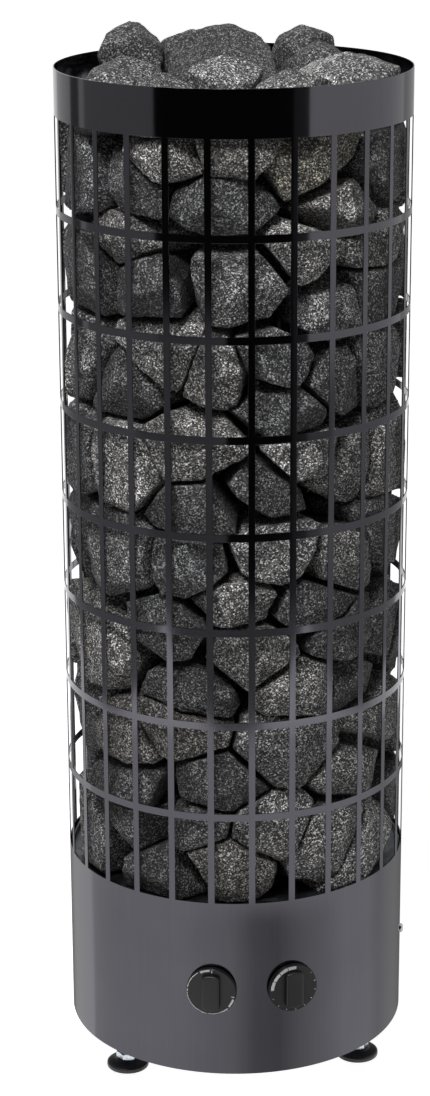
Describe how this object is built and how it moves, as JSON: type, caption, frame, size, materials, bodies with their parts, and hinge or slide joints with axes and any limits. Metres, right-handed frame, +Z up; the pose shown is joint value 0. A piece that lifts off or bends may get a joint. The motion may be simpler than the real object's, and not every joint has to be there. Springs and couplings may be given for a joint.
{
  "type": "pillar sauna heater",
  "caption": "Free-standing pillar sauna heater: a lattice steel cylinder full of stones over an electrical base with thermostat and timer knobs and levelling feet.",
  "frame": {"origin": "on the shell's axis, at the level of the floor that the feet stand on", "axes": "+Z up along the shell's axis, controls facing -Y"},
  "size_m": [0.3208, 0.3272, 0.9776],
  "materials": {
    "graphite_steel": "satin",
    "galvanised_sheet": "satin",
    "zinc_plate": "gloss",
    "pad_plastic": "satin",
    "knob_plastic": "satin",
    "control_plastic": "satin",
    "sensor_copper": "satin",
    "element_steel": "satin",
    "grommet_rubber": "matte",
    "sauna_stone": "matte"
  },
  "bodies": {
    "heater": {"outer_shell": "graphite_steel", "base_pan": "galvanised_sheet", "stone_floor": "galvanised_sheet", "heat_shield": "galvanised_sheet", "control_bracket": "galvanised_sheet", "support_post_1": "galvanised_sheet", "support_post_2": "galvanised_sheet", "support_post_3": "galvanised_sheet", "element_clamp_1": "galvanised_sheet", "element_clamp_2": "galvanised_sheet", "element_clamp_3": "galvanised_sheet", "shell_screw_1": "zinc_plate", "shell_screw_2": "zinc_plate", "shell_screw_3": "zinc_plate", "foot_nut_1": "zinc_plate", "foot_nut_2": "zinc_plate", "foot_nut_3": "zinc_plate", "thermostat_body": "control_plastic", "timer_body": "control_plastic", "terminal_block": "control_plastic", "thermostat_sensor": "sensor_copper", "heating_element_1": "element_steel", "heating_element_2": "element_steel", "heating_element_3": "element_steel", "cable_grommet": "grommet_rubber", "stone_course_1": "sauna_stone", "stone_course_2": "sauna_stone", "stone_course_3": "sauna_stone", "stone_course_4": "sauna_stone", "stone_course_5": "sauna_stone", "stone_course_6": "sauna_stone", "stone_course_7": "sauna_stone", "stone_course_8": "sauna_stone", "top_stone_1": "sauna_stone", "top_stone_2": "sauna_stone", "top_stone_3": "sauna_stone", "top_stone_4": "sauna_stone", "top_stone_5": "sauna_stone", "top_stone_6": "sauna_stone", "top_stone_7": "sauna_stone", "top_stone_8": "sauna_stone", "top_stone_9": "sauna_stone", "top_stone_10": "sauna_stone"},
    "thermostat_dial": {"thermostat_knob": "knob_plastic", "thermostat_spindle": "zinc_plate"},
    "timer_dial": {"timer_knob": "knob_plastic", "timer_spindle": "zinc_plate"},
    "foot_1": {"foot_pad_1": "pad_plastic", "foot_stud_1": "zinc_plate"},
    "foot_2": {"foot_pad_2": "pad_plastic", "foot_stud_2": "zinc_plate"},
    "foot_3": {"foot_pad_3": "pad_plastic", "foot_stud_3": "zinc_plate"}
  },
  "joints": [
    {"name": "thermostat_turn", "type": "hinge", "parent": "heater", "child": "thermostat_dial", "pos_m": [-0.0369, -0.15569, 0.1195], "axis": [0.2306, 0.973, 0], "range_deg": [0, 240]},
    {"name": "timer_turn", "type": "hinge", "parent": "heater", "child": "timer_dial", "pos_m": [0.0369, -0.15569, 0.1195], "axis": [-0.2306, 0.973, 0], "range_deg": [0, 330]},
    {"name": "foot_1_screw", "type": "slide", "parent": "heater", "child": "foot_1", "axis": [0, 0, -1], "range_m": [-0.005, 0.012]},
    {"name": "foot_2_screw", "type": "slide", "parent": "heater", "child": "foot_2", "axis": [0, 0, -1], "range_m": [-0.005, 0.012]},
    {"name": "foot_3_screw", "type": "slide", "parent": "heater", "child": "foot_3", "axis": [0, 0, -1], "range_m": [-0.005, 0.012]}
  ]
}
